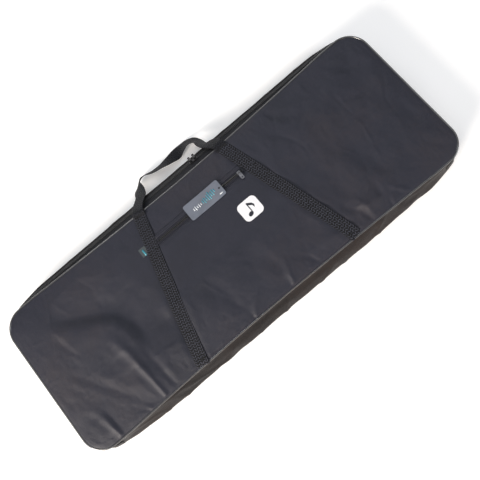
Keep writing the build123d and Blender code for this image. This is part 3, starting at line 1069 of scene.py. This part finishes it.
# ---- side walls
def wall_layer(name, z0, z1, rows, insets, material, keep, rough, seed):
    """Closed layer of the side wall between two heights, with insets (outer, inner)."""
    run = run_of(outline_loop(6.0), keep)
    travelled = [0.0]
    for a, b in zip(run, run[1:]):
        travelled.append(travelled[-1] + math.dist(a[:2], b[:2]))
    points, path = [], []
    for layer, inset in enumerate(insets):
        for i in range(rows + 1):
            z = z0 + (z1 - z0) * i / rows
            near = math.exp(-(z1 - z) / 9.0) + math.exp(-(z - z0) / 9.0)
            for s, row in zip(travelled, run):
                wave = 0.5 * ripple(s * 0.05, z * 0.012, seed) * near
                wave += 1.1 * ripple(s * 0.008, z * 0.03, seed + 5)
                wave += 0.45 * ripple(s * 0.026 + z * 0.02, z * 0.05, seed + 9)
                wave += 0.6 * creases(s + z, z * 2.2 - s * 0.3, 0.009, seed + 3) - 0.15
                amount = rough * wave * smooth(0, 5, min(z1 - z, z - z0)) * (1.0 if layer == 0 else 0.4)
                points.append(wall_place(*row, z, inset - amount))
                path.append((s, z, inset))
    return mesh_object(name, points, slab_faces(rows + 1, len(run)), material, path)


PAD = (0.0, 5.6)        # insets of the padded wall's outer and inner faces
CLOTH_IN = (6.4, 7.1)   # and of the lining's
hinge_wall = wall_layer("hinge_gusset_pad", 8.0, 68.8, 28, PAD, M_GUSSET, on_hinge, 2.9, 2.0)
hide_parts("hinge_gusset_cover", "hinge_gusset_foam")
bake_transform(hinge_wall)

zip_wall = wall_layer("zip_gusset_pad", 8.0, 46.2, 18, PAD, M_GUSSET, on_zip, 1.6, 9.0)
take_place(zip_wall, "base", "gusset", "zip_gusset_cover", "zip_gusset_foam")

hinge_lining = wall_layer("hinge_gusset_cloth", 12.8, 54.6, 12, CLOTH_IN, M_LINING, on_hinge, 0.4, 4.0)
take_place(hinge_lining, "base", "lining", "hinge_gusset_lining")

zip_lining = wall_layer("zip_gusset_cloth", 12.8, 44.0, 10, CLOTH_IN, M_LINING, on_zip, 0.4, 6.0)
take_place(zip_lining, "base", "lining", "zip_gusset_lining")

take_place(wall_layer("zip_tape_lower", 45.4, 57.1, 5, (0.5, 1.2), M_TAPE, on_zip, 0.2, 1.0),
           "base", "zip_tape", "zip_tape_base")
take_place(wall_layer("zip_tape_upper", 59.0, 69.0, 5, (0.4, 1.1), M_TAPE, on_zip, 0.2, 1.0),
           "lid", "zip_tape", "zip_tape_lid")


def wall_stations(step, z, inset, up_z):
    """Stations round the zipped sides, facing outward."""
    return [(*wall_place(*row, z, inset), row[2], row[3], up_z)
            for row in run_of(outline_loop(step), on_zip)]


MAIN_TOOTH = [(1.3, -0.4), (1.0, 0.5), (0.0, 0.9), (-1.0, 0.5), (-1.3, -0.4)]
for name, z, body, node in (("zip_teeth_lower", 57.3, "base", "zip_coil_base"),
                            ("zip_teeth_upper", 58.9, "lid", "zip_coil_lid")):
    take_place(teeth_row(name, wall_stations(3.6, z, -0.4, 0.9), 1.8, MAIN_TOOTH), body, "zip_coil", node)

# Folded fabric edge along the lower tape, with its stitching.
fold = ribbon("zip_welt", wall_stations(6.0, 46.4, -0.3, 0.2), round_section(1.0, 8), M_GUSSET, 4.0)
take_place(fold, "base", "gusset")
marks = seam_marks(wall_stations(6.0, 43.4, 0.9, 0.0), 0.0, 4.6)
take_place(stitches("zip_stitching", marks), "base", "stitching")

# Fabric tabs over the two ends of the main zip.
tabs = [wall_layer("tab", 45.0, 57.6, 6, (-2.6, -1.6), M_END,
                   lambda x, y, side=side: y < -150 and 458 < side * x < 482, 0.2, 3.0)
        for side in (-1, 1)]
take_place(joined("zip_tabs", tabs), "base", "gusset", "zip_end_tabs")


# ---- handles
def mirrored(stations):
    """The same stations on the other side of the bag, in reverse order."""
    return [(-x, y, z, -ux, uy, uz) for x, y, z, ux, uy, uz in reversed(stations)]


FOOT = [
    (-124, 161, lay(-124, 161).z - 1.2, 0, 0, 1),
    (-121.4, 170, lay(-121.4, 170).z + 0.5, 0, 0, 1),
    (-118.6, 178, 76.4, 0, 0.25, 1),
    (-115.5, 186, 72.4, 0, 0.55, 0.85),
    (-110, 195, 65.5, 0, 0.65, 0.76),
]
stations = FOOT + [
    # left leg
    (-101, 205, 57.5, 0, 0.65, 0.76),
    (-92.5, 215, 49, 0, 0.65, 0.76),
    (-89.5, 227, 38.5, -0.05, 0.65, 0.76),
    (-87, 239, 29, -0.25, 0.7, 0.65),
    (-81, 251, 22, -0.65, 0.65, 0.4),
    (-70, 260, 18, -0.5, 0.80, 0.33),
    (-57, 261.5, 16.6, 0, 0.92, 0.39),
    # grip, which dips towards the floor
    (-38, 256, 14.6, 0, 0.85, 0.53),
    (-13, 253.5, 12.6, 0, 0.74, 0.67),
    (12, 253.5, 9.4, 0, 0.44, 0.90),
    (34, 255, 5.6, 0, 0.10, 0.99),
    (52, 257, 9, 0, 0.50, 0.86),
    (67, 257.5, 12.4, 0.01, 0.66, 0.75),
    # right leg
    (79.5, 252, 17, 0.16, 0.70, 0.70),
    (87.5, 241, 24, 0.46, 0.60, 0.64),
    (91, 229, 34.5, 0.60, 0.52, 0.56),
    (92.5, 216, 46.5, 0.50, 0.55, 0.65),
    (99, 205, 57, 0.25, 0.6, 0.75),
] + mirrored(FOOT)
loop = ribbon("carry_loop_front", stations, band_section(29.5, 1.8, 24, 0.15, 0.2), M_HANDLE)
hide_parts("front_handle")
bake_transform(loop)

BACK_LEG = [
    (-119, 181, 2.2, 0, 0, 1),
    (-116, 189, 2, 0, 0, 1),
    (-106, 198, 1.6, 0, 0, 1),
    (-90, 205, 1.4, 0, 0, 1),
    (-66, 207.5, 1.2, 0, 0, 1),
]
loop = ribbon("carry_loop_back", BACK_LEG + [(0, 208, 1, 0, 0, 1)] + mirrored(BACK_LEG),
              band_section(26.0, 1.7, 24, 0.1, 0.2), M_HANDLE)
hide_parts("back_handle")
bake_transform(loop)

for label, side in (("left", -1), ("right", 1)):
    rows = [(side * strap_x(y), y, 0.15, 0, 0, 1) for y in range(174, -175, -6)]
    band = ribbon("back_webbing_" + label, rows, band_section(30.4, 1.2, 12), M_WEB)
    take_place(band, "base", "webbing", "back_strap_" + label)

# CAD nodes that keep their shape.
KEPT = {
    M_BINDING: ("back_binding", "front_binding"),
    M_BLACKENED: ("pocket_zip_stops", "main_slider_a", "main_slider_b", "main_pull_a", "main_pull_b"),
    M_NICKEL: ("pocket_slider", "pocket_pull"),
    M_CLEAR: ("hang_tag_loop",),
}
for material, nodes in KEPT.items():
    for node in nodes:
        NODES[node].data.materials.clear()
        NODES[node].data.materials.append(material)


# ---- floor
bpy.ops.mesh.primitive_plane_add(size=30, location=(0, 0, -0.0005))
floor = bpy.context.object
floor.name = "floor"
paint = Shader("pale_floor")
paint.shades(paint.noise(paint.coords(), 3.0, 3.0, 0.5), (1.0, 1.0, 1.0), (0.3, 0.88), (0.7, 0.92))
floor.data.materials.append(paint.plain(rough=0.9, spec=0.1, glow=0.22))
